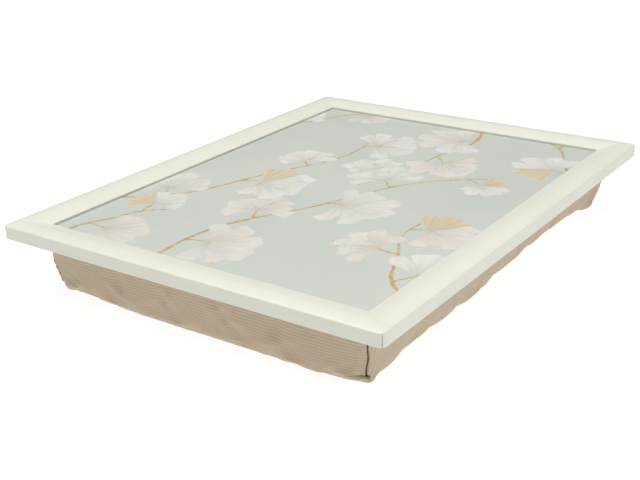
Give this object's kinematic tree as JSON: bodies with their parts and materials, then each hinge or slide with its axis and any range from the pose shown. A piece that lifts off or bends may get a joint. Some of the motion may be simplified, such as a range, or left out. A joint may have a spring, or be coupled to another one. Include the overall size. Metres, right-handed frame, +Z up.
{
  "type": "cushioned lap tray",
  "caption": "Rectangular lap tray: a mitred, ivory-painted wooden frame round a recessed printed panel, on a ribbed fabric bead cushion that holds it level on the lap.",
  "frame": {"origin": "middle of the cushion's flat underside, on the surface the tray stands on", "axes": "+Z up, +X along the tray's long sides, -Y towards the front long side"},
  "size_m": [0.44, 0.34, 0.0615],
  "materials": {
    "painted_wood": "satin",
    "fastener_steel": "satin",
    "hardboard": "matte",
    "print": "satin",
    "hook_tape": "matte",
    "loop_tape": "matte",
    "ribbed_cloth": "matte",
    "plain_cloth": "matte",
    "beads": "matte"
  },
  "bodies": {
    "cushion": {"cushion_cover": "ribbed_cloth", "cushion_top_cloth": "plain_cloth", "bead_fill": "beads", "front_left_loop_tape": "loop_tape", "front_right_loop_tape": "loop_tape", "back_left_loop_tape": "loop_tape", "back_right_loop_tape": "loop_tape"},
    "tray": {"front_rail": "painted_wood", "back_rail": "painted_wood", "left_rail": "painted_wood", "right_rail": "painted_wood", "corner_wedge_nails": "fastener_steel", "board_points": "fastener_steel", "backing_board": "hardboard", "printed_panel": "print", "front_left_hook_tape": "hook_tape", "front_right_hook_tape": "hook_tape", "back_left_hook_tape": "hook_tape", "back_right_hook_tape": "hook_tape"}
  },
  "joints": [
    {"name": "tray_lift", "type": "slide", "parent": "cushion", "child": "tray", "axis": [0, 0, 1], "range_m": [0, 0.1]}
  ]
}
